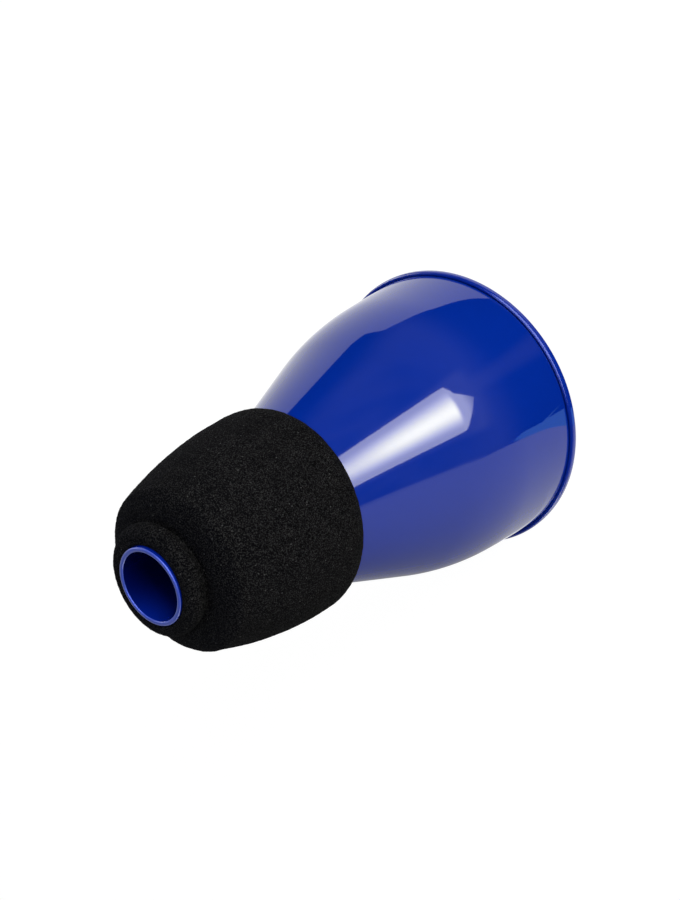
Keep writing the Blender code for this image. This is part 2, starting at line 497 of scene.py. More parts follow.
@dataclass(frozen=True)
class TubePlastic(GlossPlastic):
    """Drawn tube plastic: fine lines along it, a turned lip painted paler as light falling on it, and painted
    shade darkening one side of its bore.
    """

    lip_height: float = 0.1826
    lip_roughness: float = 0.20
    # Painted light: the paler colour of the lip's top, standing in for the light that falls on it.
    lip_painted_light_colour: Colour = (0.045, 0.092, 0.58)
    ring_size: float = 0.00022
    ring_depth: float = 0.000006
    line_size: float = 0.0009
    line_squash: float = 0.02
    line_depth: float = 0.000004
    bore_radius: float = 0.0134
    # Painted shade in the bore: the side it darkens, its edge, its share and its colour.
    bore_shade_side: Spot = (-0.9, -0.45, 0.0)
    bore_shade_edge: Span = (-0.012, 0.008)
    bore_shade_share: float = 0.80
    bore_shade_colour: Colour = (0.0003, 0.0006, 0.03)

    def nodes(self, sheet: NodeSheet) -> dict[str, object]:
        """Adds the draw lines, the turned lip with its painted light and the painted shade in the bore to the
        plastic's nodes.

        Args:
            sheet: The material's sheet.

        Returns:
            The shader's sockets.
        """
        sockets = super().nodes(sheet)
        lip = sheet.above(sheet.parts()["Z"], self.lip_height)
        radius = sheet.axis_distance()
        outward = sheet.add("ShaderNodeCombineXYZ", {"X": radius}).outputs["Vector"]
        rings = sheet.times(sheet.cloud(self.ring_size, 1.0, outward), lip)
        turned = sheet.bump(rings, self.ring_depth, sockets["Normal"])
        lines = sheet.cloud(self.line_size, 2.0, sheet.stretched(self.line_squash))
        sockets["Normal"] = sheet.bump(lines, self.line_depth, turned)
        # Painted shade: inside the bore the colour is darkened towards one side, standing in for the shade
        # there.
        sideways = {0: sheet.coordinates(), 1: self.bore_shade_side}
        side = sheet.add("ShaderNodeVectorMath", sideways, operation="DOT_PRODUCT").outputs["Value"]
        bore_shade_ramp = sheet.ramp(side, self.bore_shade_edge, (self.bore_shade_share, 0.0))
        bore_shade = sheet.times(sheet.below(radius, self.bore_radius), bore_shade_ramp)
        bore_shaded_colour = sheet.blend(bore_shade, sockets["Base Color"], self.bore_shade_colour)
        # Painted light: the lip is coloured paler, standing in for the light that falls on its top.
        sockets["Base Color"] = sheet.blend(lip, bore_shaded_colour, self.lip_painted_light_colour)
        sockets["Roughness"] = sheet.plus(sockets["Roughness"], sheet.times(lip, self.lip_roughness))
        return sockets


@dataclass(frozen=True)
class Foam(Finish):
    """Matt foam: open pores painted dark as shade inside them, between paler cell walls, with a few bright
    flecks.
    """

    wall: Colour = (0.0246, 0.0245, 0.0240)
    # Painted shade: the colour at the pores' middles, darker than the walls as if shade lay inside them.
    pore_shade: Colour = (0.0008, 0.0008, 0.0009)
    cell_size: float = 0.00060
    pore_edge: Span = (0.17, 0.52)
    pore_depth: float = 0.00022
    grit_size: float = 0.00047
    grit_edge: Span = (0.44, 0.61)
    grit_depth: float = 0.00012
    patch_size: float = 0.009
    patch_edge: Span = (0.25, 0.75)
    patch_shade: float = 0.75
    fleck: Colour = (0.055, 0.055, 0.054)
    fleck_spacing: float = 1.7
    fleck_free: float = 0.86
    fleck_edge: Span = (0.20, 0.33)
    rough_edge: Span = (0.3, 0.7)
    roughness: Span = (0.86, 1.0)
    gloss: float = 0.02

    def nodes(self, sheet: NodeSheet) -> dict[str, object]:
        """Writes the foam's nodes.

        Args:
            sheet: The material's sheet.

        Returns:
            The shader's sockets.
        """
        open_pore = sheet.ramp(sheet.cells(self.cell_size)["Distance"], self.pore_edge)
        grit = sheet.cloud(self.grit_size)
        patch = sheet.ramp(sheet.cloud(self.patch_size), self.patch_edge, (self.patch_shade, 1.0))
        walls = sheet.times(open_pore, sheet.ramp(grit, self.grit_edge), patch)
        flecks = sheet.specks(self.cell_size * self.fleck_spacing, self.fleck_free, self.fleck_edge)
        pores = sheet.bump(open_pore, self.pore_depth)
        return {
            # Painted shade: the pores' middles take the dark pore colour; the flecks are laid over it.
            "Base Color": sheet.blend(flecks, sheet.blend(walls, self.pore_shade, self.wall), self.fleck),
            "Roughness": sheet.ramp(grit, self.rough_edge, self.roughness),
            "Normal": sheet.bump(grit, self.grit_depth, pores),
            "Specular IOR Level": self.gloss,
        }


@dataclass(frozen=True)
class SatinPlastic(Finish):
    """Unpolished black plastic with a fine even grain."""

    colour: Colour = (0.012, 0.012, 0.013)
    shade_size: float = 0.006
    darkest: float = 0.8
    palest: float = 1.25
    grain_size: float = 0.0004
    grain_depth: float = 0.00001
    grain_edge: Span = (0.3, 0.7)
    roughness: Span = (0.36, 0.50)

    def nodes(self, sheet: NodeSheet) -> dict[str, object]:
        """Writes the plastic's nodes.

        Args:
            sheet: The material's sheet.

        Returns:
            The shader's sockets.
        """
        grain = sheet.cloud(self.grain_size)
        shades = (tint(self.colour, self.darkest), tint(self.colour, self.palest))
        return {
            "Base Color": sheet.blend(sheet.cloud(self.shade_size), *shades),
            "Roughness": sheet.ramp(grain, self.grain_edge, self.roughness),
            "Normal": sheet.bump(grain, self.grain_depth),
            "IOR": PLASTIC_IOR,
        }


@dataclass(frozen=True)
class Grain:
    """How uneven a foam skin is: broad swells, small lumps and pits."""

    swell: float = 0.00016
    swell_size: float = 0.010
    lump: float = 0.00009
    lump_size: float = 0.0016
    pit: float = 0.00010
    pit_size: float = 0.00085

    def height(self, place: Vector) -> float:
        """How far the skin stands out at a place.

        Args:
            place: The place on the even skin.

        Returns:
            The height over it.
        """
        rise = self.swell * noise.noise(place / self.swell_size)
        rise += self.lump * noise.noise(place / self.lump_size)
        rise += self.pit * noise.noise(place / self.pit_size)
        return rise


@dataclass
class Shell:
    """The moulded shell: neck sleeve, straight cone, soft bend and nearly cylindrical skirt."""

    finish: GlossPlastic
    wall: float = 0.0022
    neck_wall: float = 0.0018
    skirt_slope: float = 0.0818
    mouth_swell: float = 0.0003
    bend_height: float = 0.0472
    bend_radius: float = 0.137
    cone_top_setback: float = 0.0268
    edge_round: float = 0.0002
    fit_gap: float = 0.0003
    wave: float = 0.000035
    wave_size: float = 0.030
    still_mouth: float = 0.012
    still_neck: Span = (0.03, 0.01)
    drawn: Drawn = measured("body_shell")
    tube: Drawn = measured("throat_tube")

    @property
    def mouth_radius(self) -> float:
        """The mouth's radius, a little wider than drawn, as mouldings come out of a mould."""
        return self.drawn.radius + self.mouth_swell

    @property
    def neck_bore(self) -> float:
        """The bore of the neck sleeve, which the throat tube fills."""
        return self.tube.radius + self.fit_gap

    @property
    def neck_radius(self) -> float:
        """The outer radius of the neck sleeve."""
        return self.neck_bore + self.neck_wall

    @property
    def cone_top(self) -> float:
        """The height at which the cone meets the neck sleeve."""
        return self.tube.high - self.cone_top_setback

    @property
    def bend_corner(self) -> float:
        """The radius where the lines of cone and skirt would cross."""
        return self.mouth_radius - self.skirt_slope * (self.bend_height - self.drawn.low)

    @property
    def cone_slope(self) -> float:
        """How much wider the cone gets for each metre down."""
        return (self.bend_corner - self.neck_radius) / (self.cone_top - self.bend_height)

    def cone_radius(self, height: float, inset: float = 0.0) -> float:
        """The cone's radius at a height, moved square to its face by inset."""
        radius = self.bend_corner - self.cone_slope * (height - self.bend_height)
        return radius - inset * math.hypot(1, self.cone_slope)

    def skirt_radius(self, height: float, inset: float = 0.0) -> float:
        """The skirt's radius at a height, moved square to its face by inset."""
        radius = self.bend_corner - self.skirt_slope * (height - self.bend_height)
        return radius - inset * math.hypot(1, self.skirt_slope)

    def cone_height(self, radius: float, inset: float = 0.0) -> float:
        """The height at which the cone, moved by inset, has a radius."""
        slack = inset * math.hypot(1, self.cone_slope)
        return self.bend_height + (self.bend_corner - slack - radius) / self.cone_slope

    def bend_centre(self, cone_angle: float, skirt_angle: float) -> Point:
        """The centre of the bend's arc, which touches the lines of cone and skirt.

        Args:
            cone_angle: How far the cone leans from upright.
            skirt_angle: How far the skirt leans from upright.

        Returns:
            The centre.
        """
        tangent = self.bend_radius * math.tan((cone_angle - skirt_angle) / 2)
        start_radius = self.bend_corner + tangent * math.sin(skirt_angle)
        start_height = self.bend_height - tangent * math.cos(skirt_angle)
        return (
            start_radius - self.bend_radius * math.cos(skirt_angle),
            start_height - self.bend_radius * math.sin(skirt_angle),
        )

    def outline(self) -> list[Point]:
        """Draws the wall: down the outside, round the mouth and up the inside.

        Returns:
            The outline's points.
        """
        cone_angle = math.atan(self.cone_slope)
        skirt_angle = math.atan(self.skirt_slope)
        centre = self.bend_centre(cone_angle, skirt_angle)
        inner = self.bend_radius - self.wall
        bend_top = centre[1] + self.bend_radius * math.sin(cone_angle)
        edge = self.edge_round
        edge_height = self.drawn.low + edge
        path = Outline(self.neck_bore, self.drawn.high)
        path.line(self.neck_radius - edge, self.drawn.high)
        path.line(self.neck_radius, self.drawn.high - edge)
        path.line(self.neck_radius, self.cone_top, 4)
        path.line(self.cone_radius(bend_top), bend_top, 24)
        path.arc(centre, (self.bend_radius, self.bend_radius), cone_angle, skirt_angle, 30)
        path.line(self.skirt_radius(edge_height + edge), edge_height + edge, 10)
        path.line(self.skirt_radius(edge_height), edge_height)
        path.corner((self.skirt_radius(edge_height) - edge, edge_height), edge, 0)
        path.line(self.skirt_radius(self.drawn.low, self.wall), self.drawn.low)
        path.arc(centre, (inner, inner), skirt_angle, cone_angle, 12)
        path.line(self.neck_bore, self.cone_height(self.neck_bore, self.wall), 6)
        path.line(self.neck_bore, self.drawn.high, 4)
        return path.closed()

    def waved(self, place: Vector, normal: Vector) -> Vector:
        """Moves a point by the moulding's faint unevenness, which dies out at the edges.

        Args:
            place: The point's place.
            normal: Its normal.

        Returns:
            Its new place.
        """
        free = smooth_step(place.z, self.drawn.low, self.drawn.low + self.still_mouth)
        start, end = (self.cone_top - setback for setback in self.still_neck)
        free *= 1 - smooth_step(place.z, start, end)
        return place + normal * (self.wave * free * noise.noise(place / self.wave_size))

    def build(self) -> bpy.types.Object:
        """Builds the shell and dresses it."""
        piece = spun("moulded_shell", self.outline(), Turns.SMOOTH, self.waved)
        return fit(piece, "body_shell", self.finish.material("shell_gloss_blue"))


@dataclass
class EndCap:
    """The flanged cap, with the vent tube in its boss and the damping pad on its panel."""

    shell: Shell
    finish: CapPlastic
    vent_finish: SatinPlastic
    pad_finish: Foam
    flange_thickness: float = 0.003
    edge_round: float = 0.0008
    rim_round: float = 0.0012
    rim_bead: float = 0.0001
    groove_depth: float = 0.0003
    groove_width: float = 0.00022
    rest_rim: float = 0.009
    recess_depth: float = 0.0012
    recess_slope: float = 0.0012
    panel_thickness: float = 0.0025
    spigot_height: float = 0.009
    spigot_wall: float = 0.0022
    boss_height: float = 0.008
    boss_wall: float = 0.0018
    small_round: float = 0.0003
    vent_wall: float = 0.0015
    pad_round: float = 0.0012
    pad_crown: float = 0.0003
    pad_still: Span = (0.004, 0.008)
    pad_grain: Grain = Grain(swell=0.00012, swell_size=0.012, lump=0.000084, lump_size=0.0017, pit=0.0)
    cap: Drawn = measured("end_cap")
    vent: Drawn = measured("vent_tube")
    pad: Drawn = measured("damping_pad")

    @property
    def panel_top(self) -> float:
        """The height of the panel's upper face."""
        return self.recess_depth + self.panel_thickness

    @property
    def boss_bore(self) -> float:
        """The bore of the boss that holds the vent tube."""
        return self.vent.radius + self.shell.fit_gap

    @property
    def boss_radius(self) -> float:
        """The outer radius of the boss."""
        return self.boss_bore + self.boss_wall

    def draw_flange(self, path: Outline) -> None:
        """Draws the joint groove beside the shell and the flange's round rim.

        Args:
            path: The cap's outline, which has come down the spigot.
        """
        floor = self.flange_thickness - self.groove_depth
        wall = self.shell.mouth_radius + self.groove_depth / 2
        groove = (self.groove_width, self.groove_depth)
        rim = self.cap.radius + self.rim_bead
        edge = self.edge_round
        crown = (rim - self.rim_round, self.flange_thickness - edge)
        path.line(wall, floor, 2)
        path.arc((wall + self.groove_width, floor), groove, math.pi, HALF_PI, 8)
        path.arc(crown, (self.rim_round, edge), HALF_PI, 0, 14)
        path.corner((rim - edge, edge), edge, 0)

    def cap_outline(self) -> list[Point]:
        """Draws the cap: down the spigot, round the flange, across below and up the boss.

        Returns:
            The outline's points.
        """
        inset = self.shell.wall + self.shell.fit_gap
        spigot_top = self.flange_thickness + self.spigot_height
        top_radius = self.shell.skirt_radius(spigot_top, inset)
        foot_radius = self.shell.skirt_radius(self.flange_thickness, inset)
        tip = self.small_round
        recess = self.cap.radius - self.rest_rim
        slope_foot = recess - self.recess_slope
        boss_top = self.panel_top + self.boss_height
        spigot_inner = top_radius - self.spigot_wall
        path = Outline(top_radius - 2 * tip, spigot_top)
        path.line(top_radius, spigot_top - 2 * tip)
        path.line(foot_radius, self.flange_thickness - self.groove_depth, 3)
        self.draw_flange(path)
        path.line(recess + 2 * tip, 0, 4)
        path.arc((recess + tip, tip), (tip, tip), -HALF_PI, -math.pi * 3 / 4, 3)
        path.line(slope_foot + tip, self.recess_depth - tip / 2)
        path.line(slope_foot - tip, self.recess_depth)
        path.line(self.boss_bore + 2 * tip, self.recess_depth, 12)
        path.line(self.boss_bore, self.recess_depth + 2 * tip)
        path.line(self.boss_bore, boss_top - tip, 3)
        path.line(self.boss_bore + tip, boss_top)
        path.line(self.boss_radius - tip, boss_top)
        path.line(self.boss_radius, boss_top - tip)
        path.line(self.boss_radius, self.panel_top, 3)
        path.line(spigot_inner, self.panel_top, 6)
        path.line(spigot_inner, spigot_top - tip)
        path.line(spigot_inner + tip, spigot_top)
        return path.closed()

    def vent_outline(self) -> list[Point]:
        """Draws the vent tube, with its edges eased.

        Returns:
            The outline's points.
        """
        bore = self.vent.radius - self.vent_wall
        ease = self.small_round
        path = Outline(bore + ease, self.vent.high)
        path.line(self.vent.radius - ease, self.vent.high)
        path.line(self.vent.radius, self.vent.high - ease)
        path.line(self.vent.radius, self.vent.low + ease, 8)
        path.line(self.vent.radius - ease, self.vent.low)
        path.line(bore + ease, self.vent.low)
        path.line(bore, self.vent.low + ease)
        path.line(bore, self.vent.high - ease, 8)
        return path.closed()

    def pad_outline(self) -> list[Point]:
        """Draws the damping pad: a foam washer with soft upper edges.

        Returns:
            The outline's points.
        """
        high = self.pad.high - self.pad_crown
        inner = self.boss_radius + self.shell.fit_gap
        ease = self.pad_round
        path = Outline(inner + ease, high)
        path.line(self.pad.radius - ease, high, 60)
        path.corner((self.pad.radius - ease, high - ease), ease, HALF_PI)
        path.line(self.pad.radius, self.pad.low, 8)
        path.line(inner, self.pad.low, 6)
        path.line(inner, high - ease, 8)
        path.corner((inner + ease, high - ease), ease, math.pi)
        return path.closed()

    def pad_shaped(self, place: Vector, normal: Vector) -> Vector:
        """Roughens the pad's top with its open cells.

        Args:
            place: The point's place.
            normal: Its normal.

        Returns:
            Its new place.
        """
        start, end = (self.pad.low + rise for rise in self.pad_still)
        free = smooth_step(place.z, start, end)
        return place + normal * (self.pad_grain.height(place) * free)

    def build(self) -> list[bpy.types.Object]:
        """Builds the cap, the vent tube and the pad, and dresses them.

        Returns:
            The three pieces.
        """
        cap = spun("flanged_end_cap", self.cap_outline(), Turns.SMOOTH)
        vent = spun("vent_tube_insert", self.vent_outline(), Turns.SMALL)
        pad = spun("damping_pad_foam", self.pad_outline(), Turns.SMOOTH, self.pad_shaped)
        fit(cap, "end_cap", self.finish.material("cap_gloss_blue"))
        fit(vent, "vent_tube", self.vent_finish.material("vent_satin_black"))
        fit(pad, "damping_pad", self.pad_finish.material("pad_open_foam"))
        return [cap, vent, pad]


@dataclass
class ThroatTube:
    """The open tube that carries sound and breath into the chamber."""

    finish: TubePlastic
    wall: float = 0.0018
    lip_outer: float = 0.0007
    lip_inner: float = 0.0006
    lip_depth: float = 0.003
    drawn: Drawn = measured("throat_tube")

    def outline(self) -> list[Point]:
        """Draws the tube: round the lip, down the outside and up the bore.

        Returns:
            The outline's points.
        """
        radius = self.drawn.radius
        low = self.drawn.low
        high = self.drawn.high
        bore = radius - self.wall
        ease = self.lip_inner
        lip_foot = high - self.lip_depth
        path = Outline(bore, high - ease)
        path.corner((bore + ease, high - ease), ease, math.pi)
        path.corner((radius - self.lip_outer, high - self.lip_outer), self.lip_outer, HALF_PI)
        path.line(radius, lip_foot, 2)
        path.line(radius, low + ease, 10)
        path.line(radius - ease, low)
        path.line(bore + ease, low)
        path.line(bore, low + ease)
        path.line(bore, lip_foot, 12)
        path.line(bore, high - ease, 2)
        return path.closed()

    def build(self) -> bpy.types.Object:
        """Builds the tube and dresses it."""
        piece = spun("throat_tube_open", self.outline(), Turns.SMOOTH)
        return fit(piece, "throat_tube", self.finish.material("throat_blue"))


@dataclass
class NoseRing:
    """The foam bead round the tube, glued on a little off centre and a little askew."""

    shell: Shell
    finish: Foam
    grain: Grain
    bead: float = 0.0042
    waist_depth: float = 0.0022
    foot_ease: Point = (0.0006, 0.0002)
    slip: float = 0.0008
    tilt: float = 0.039
    held_skin: float = 0.0025
    held_foot: float = 0.004
    drawn: Drawn = measured("foam_nose_ring")

    @property
    def bore(self) -> float:
        """The ring's bore in front, on the throat tube."""
        return self.shell.tube.radius + self.shell.fit_gap

    def outline(self) -> list[Point]:
        """Draws the ring: over the bead, into the waist and back along the bore.

        Returns:
            The outline's points.
        """
        centre = (self.drawn.radius - self.bead, self.drawn.high - self.bead)
        front = math.acos((self.bore - centre[0]) / self.bead)
        waist = self.drawn.radius - self.waist_depth
        back = -math.acos((waist - centre[0]) / self.bead)
        sleeve = self.shell.neck_radius + self.shell.fit_gap
        step = self.shell.drawn.high + self.shell.fit_gap
        inward, upward = self.foot_ease
        path = Outline(self.bore, centre[1] + self.bead * math.sin(front))
        path.arc(centre, (self.bead, self.bead), front, back, 46)
        path.line(waist - upward, self.drawn.low + upward, 5)
        path.line(waist - inward, self.drawn.low)
        path.line(sleeve, self.drawn.low, 4)
        path.line(sleeve, step, 4)
        path.line(self.bore, step)
        path.line(*path.points[0], 5)
        return path.closed()

    def settled(self, place: Vector, normal: Vector) -> Vector:
        """Grains a point, slides it off centre and tips it, with the bore left on the tube.

        Args:
            place: The point's place.
            normal: Its normal.

        Returns:
            Its new place.
        """
        radius = math.hypot(place.x, place.y)
        free = smooth_step(radius, self.bore, self.bore + self.held_skin)
        moved = place + normal * (self.grain.height(place) * free)
        forward = smooth_step(place.z, self.drawn.low, self.drawn.low + self.held_foot)
        moved.x += self.slip * free * forward
        moved.z -= self.tilt * place.x * forward
        return moved

    def build(self) -> bpy.types.Object:
        """Builds the ring and dresses it.

        Returns:
            The ring.
        """
        piece = spun("foam_nose_bead", self.outline(), Turns.NOSE_GRAIN, self.settled)
        fit(piece, "foam_nose_ring", self.finish.material("nose_foam_black"))
        return piece


@dataclass
class Collar:
    """The foam bulb that seals the bell: its ends are cut a little oblique to the cone."""

    shell: Shell
    finish: Foam
    grain: Grain
    shoulder_reach: float = 0.0145
    shoulder_drop: float = 0.0044
    crown_drop: float = 0.0544
    crown_power: float = 1.98
    side_pieces: int = 92
    oblique: float = 0.058
    held_skin: float = 0.003
    held_bore: float = 0.006
    drawn: Drawn = measured("foam_collar")

    @property
    def neck_bore(self) -> float:
        """The collar's bore in front, on the neck sleeve."""
        return self.shell.neck_radius + self.shell.fit_gap

    def outline(self) -> list[Point]:
        """Draws the collar: shoulder, swelling side, rounded back edge and bore.

        Returns:
            The outline's points.
        """
        gap = self.shell.fit_gap
        crown = self.drawn.radius
        low = self.drawn.low
        high = self.drawn.high
        shoulder = self.neck_bore + self.shoulder_reach
        shoulder_height = high - self.shoulder_drop
        shoulder_size = (self.shoulder_reach, self.shoulder_drop)
        crown_height = high - self.crown_drop
        bore_back = self.shell.cone_radius(low, -gap)
        back_size = (crown - bore_back, crown_height - low)
        path = Outline(self.neck_bore, high)
        path.arc((self.neck_bore, shoulder_height), shoulder_size, HALF_PI, 0, 34)
        for step in range(1, self.side_pieces + 1):
            share = 1 - step / self.side_pieces
            radius = crown - (crown - shoulder) * share**self.crown_power
            path.line(radius, crown_height + (shoulder_height - crown_height) * share)
        path.arc((bore_back, crown_height), back_size, 0, -HALF_PI, 26)
        path.line(self.neck_bore, self.shell.cone_height(self.neck_bore, -gap), 8)
        path.line(self.neck_bore, high, 3)
        return path.closed()

    def settled(self, place: Vector, normal: Vector) -> Vector:
        """Grains a point and slants the ends, with the bore left on the cone.

        Args:
            place: The point's place.
            normal: Its normal.

        Returns:
            Its new place.
        """
        radius = math.hypot(place.x, place.y)
        seat = max(self.neck_bore, self.shell.cone_radius(place.z, -self.shell.fit_gap))
        free = smooth_step(radius, seat, seat + self.held_skin)
        held = 1 - smooth_step(radius, seat, seat + self.held_bore)
        behind = (self.drawn.high - place.z) / (self.drawn.high - self.drawn.low)
        slide = self.oblique * place.x * behind
        spread = 1 + held * self.shell.cone_slope * slide / radius
        moved = place + normal * (self.grain.height(place) * free)
        return Vector((moved.x * spread, moved.y * spread, moved.z - slide))

    def build(self) -> bpy.types.Object:
        """Builds the collar and dresses it.

        Returns:
            The collar.
        """
        piece = spun("foam_collar_bulb", self.outline(), Turns.COLLAR_GRAIN, self.settled)
        fit(piece, "foam_collar", self.finish.material("collar_foam_black"))
        return piece


@dataclass(frozen=True)
class Light:
    """The light that a card gives off, here the same all over."""

    level: float = 1.0
    colour: Colour = WHITE

    def strength(self, sheet: NodeSheet) -> float | Socket:
        """How strong the light is, written on the card's sheet where it varies."""
        return self.level

    def hue(self, sheet: NodeSheet) -> tuple[float, ...] | Socket:
        """The light's colour, written on the card's sheet where it varies."""
        return (*self.colour, 1)


def seen_ahead(sheet: NodeSheet, shift: float = 0.0) -> tuple[Socket, Socket]:
    """Where a place on the floor lies in front of the mute.

    Args:
        sheet: The card's sheet.
        shift: How far the place is first moved along X.

    Returns:
        How far ahead it lies, and its angle to straight ahead.
    """
    place = sheet.parts()
    ahead = sheet.times(place["Y"], -1.0)
    return ahead, sheet.maths("ARCTAN2", sheet.plus(place["X"], shift), ahead)


@dataclass(frozen=True)
class Fade:
    """Light that changes with the angle to straight ahead, in degrees, and with a distance."""

    turns: Span
    turn_levels: Span
    reaches: Span
    reach_levels: Span = RISING

    def strength(self, sheet: NodeSheet, turn: Socket, distance: Socket) -> Socket:
        """How strong the light is at an angle and a distance on a card's sheet."""
        by_turn = sheet.ramp(turn, angles(self.turns), self.turn_levels)
        return sheet.times(by_turn, sheet.ramp(distance, self.reaches, self.reach_levels))


@dataclass(frozen=True)
class ClothLight(Light):
    """Dark cloth: greyer far off, soft at its left edge, hazed round the softbox, bare at the rim."""

    grey: Fade = Fade((60.0, 82.0), FALLING, (0.08, 0.14), (0.0, 0.15))
    fold_size: float = 0.3
    fold_edge: Span = (0.3, 0.7)
    fold_shades: Span = (0.6, 1.4)
    edge: Fade = Fade((-45.0, -38.0), (0.9, 0.0), (0.12, 0.26))
    edge_shift: float = -0.02
    haze: Fade = Fade((17.0, 23.0), (0.3, 0.0), (0.12, 0.17))
    streak: Fade = Fade((1.0, 7.5), (0.14, 0.0), (0.12, 0.16), FALLING)
    streak_middle: float = 6.5
    bare: Fade = Fade((5.0, 25.0), (0.0, 0.9), (0.0636, 0.0643), FALLING)

    def strength(self, sheet: NodeSheet) -> Socket:
        """How strongly each place of the cloth shows.

        Args:
            sheet: The card's sheet.

        Returns:
            The strength.
        """
        ahead, turn = seen_ahead(sheet)
        left = seen_ahead(sheet, self.edge_shift)[1]
        away = sheet.axis_distance()
        across = sheet.maths("ABSOLUTE", turn)
        aside = sheet.maths("ABSOLUTE", sheet.plus(turn, -math.radians(self.streak_middle)))
        folds = sheet.ramp(sheet.cloud(self.fold_size, 1.0), self.fold_edge, self.fold_shades)
        return sheet.plus(
            sheet.times(self.grey.strength(sheet, turn, away), folds),
            self.edge.strength(sheet, left, ahead),
            self.haze.strength(sheet, across, ahead),
            self.streak.strength(sheet, aside, ahead),
            self.bare.strength(sheet, turn, away),
        )


@dataclass(frozen=True)
class SoftboxLight(Light):
    """A softbox: hot along its middle, with a dimmer inner wall at its near end."""

    level: float = 6.1
    middle_shift: float = 0.002
    middle_turn: float = 1.0
    half_turn: float = 18.5
    left_squeeze: float = 1.2
    hot_power: float = 3.2
    hot_reach: Span = (0.6, 1.6)
    hot_levels: Span = (17.3, 9.5)
    wall_reach: Span = (0.150, 0.212)
    wall_levels: Span = (2.0, 6.9)
    wall_end: Span = (0.240, 0.278)
    warm_levels: Span = (7.0, 20.0)
    dim_colour: Colour = (1.0, 1.0, 1.04)
    hot_colour: Colour = (1.0, 0.99, 0.72)

    def strength(self, sheet: NodeSheet) -> Socket:
        """How strongly each place of the softbox shows.

        Args:
            sheet: The card's sheet.

        Returns:
            The strength.
        """
        ahead, turn = seen_ahead(sheet, self.middle_shift)
        centred = sheet.plus(turn, math.radians(self.middle_turn))
        right = sheet.maths("DIVIDE", centred, math.radians(self.half_turn))
        off_middle = sheet.maths("MAXIMUM", right, sheet.times(right, -self.left_squeeze))
        inside = sheet.maths("SUBTRACT", 1.0, sheet.times(off_middle, off_middle), True)
        peak = sheet.ramp(ahead, self.hot_reach, self.hot_levels)
        hot = sheet.plus(sheet.times(sheet.maths("POWER", inside, self.hot_power), peak), self.level)
        wall = sheet.ramp(ahead, self.wall_reach, self.wall_levels)
        share = sheet.ramp(ahead, self.wall_end)
        wall_share = sheet.maths("SUBTRACT", 1.0, share)
        return sheet.plus(sheet.times(hot, share), sheet.times(wall, wall_share))

    def hue(self, sheet: NodeSheet) -> Socket:
        """The light's colour: faintly blue where it is dim, warm where it is hottest."""
        heat = sheet.ramp(self.strength(sheet), self.warm_levels)
        return sheet.blend(heat, self.dim_colour, self.hot_colour)


@dataclass(frozen=True)
class ShadeLight(Light):
    """Floor in the mute's own shade, darkest behind on the left."""

    turns: Span = (-45.0, 40.0)
    levels: Span = (1.0, 0.34)

    def strength(self, sheet: NodeSheet) -> Socket:
        """How strongly each place of the shaded floor shows.

        Args:
            sheet: The card's sheet.

        Returns:
            The strength.
        """
        place = sheet.parts()
        turn = sheet.maths("ARCTAN2", place["Y"], sheet.times(place["X"], -1.0))
        return sheet.ramp(turn, angles(self.turns), self.levels)


def show_to(piece: bpy.types.Object, seen: Seen) -> None:
    """Says which rays meet a stage piece.

    Args:
        piece: The stage piece.
        seen: Which rays meet it.
    """
    if seen is Seen.BY_GLOSS:
        piece.visible_camera = False
        piece.visible_diffuse = False
        piece.visible_transmission = False
        piece.visible_volume_scatter = False
        piece.visible_shadow = False


@dataclass(frozen=True)
class Card:
    """A flat card on the stage, lying on the floor or hung up, that only gloss shows."""

    name: str
    corners: Corners
    light: Light

    def build(self) -> bpy.types.Object:
        """Makes the card's face, gives it its light and lets only gloss rays meet it.

        Returns:
            The card.
        """
        work = bmesh.new()
        bmesh.ops.contextual_create(work, geom=[work.verts.new(corner) for corner in self.corners])
        card = meshed(self.name, work)
        sheet = NodeSheet(bpy.data.materials.new(self.name))
        sockets = {"Color": self.light.hue(sheet), "Strength": self.light.strength(sheet)}
        card.data.materials.append(sheet.finish(sheet.add("ShaderNodeEmission", sockets)))
        show_to(card, Seen.BY_GLOSS)
        return card


def standing(start: float, end: float, distance: float, heights: Span) -> Corners:
    """Corners of a card that stands between two azimuths.

    Args:
        start: Azimuth of its first upright edge, in degrees.
        end: Azimuth of its second upright edge, in degrees.
        distance: How far off its edges stand.
        heights: Heights of its lower and upper edge.

    Returns:
        The four corners.
    """
    first, second = (heading(turn) * distance for turn in (start, end))
    low, high = heights
    return tuple((*spot.xy, z) for spot, z in ((first, low), (second, low), (second, high), (first, high)))


def facing(azimuth: float, elevation: float, distance: float, width: float, height: float) -> Corners:
    """Corners of a card that hangs in the air and faces the mute.

    Args:
        azimuth: Its azimuth, in degrees.
        elevation: Its elevation, in degrees.
        distance: How far off it hangs.
        width: Its level width.
        height: Its other width.

    Returns:
        The four corners.
    """
    away = heading(azimuth, elevation)
    level = heading(azimuth + 90.0) * (width / 2)
    upright = away.cross(level).normalized() * (height / 2)
    ends = ((-1, -1), (1, -1), (1, 1), (-1, 1))
    return tuple(tuple(away * distance + level * across + upright * along) for across, along in ends)


@dataclass(frozen=True)
class Lamp:
    """A square soft lamp that looks at a height on the mute's axis."""

    name: str
    azimuth: float
    elevation: float
    distance: float
    width: float
    level: float
    aim: float = 0.08

    def build(self) -> bpy.types.Object:
        """Hangs the lamp. Its level is the share of a white card's brightness that it gives.

        Returns:
            The lamp object.
        """
        away = heading(self.azimuth, self.elevation)
        data = bpy.data.lights.new(self.name, "AREA")
        data.shape = "SQUARE"
        data.size = self.width
        data.energy = self.level * (math.pi * self.distance) ** 2
        lamp = linked(self.name, data)
        lamp.location = Vector((0, 0, self.aim)) + away * self.distance
        lamp.rotation_mode = "QUATERNION"
        lamp.rotation_quaternion = away.to_track_quat("Z", "Y")
        lamp.visible_camera = False
        lamp.visible_glossy = False
        return lamp


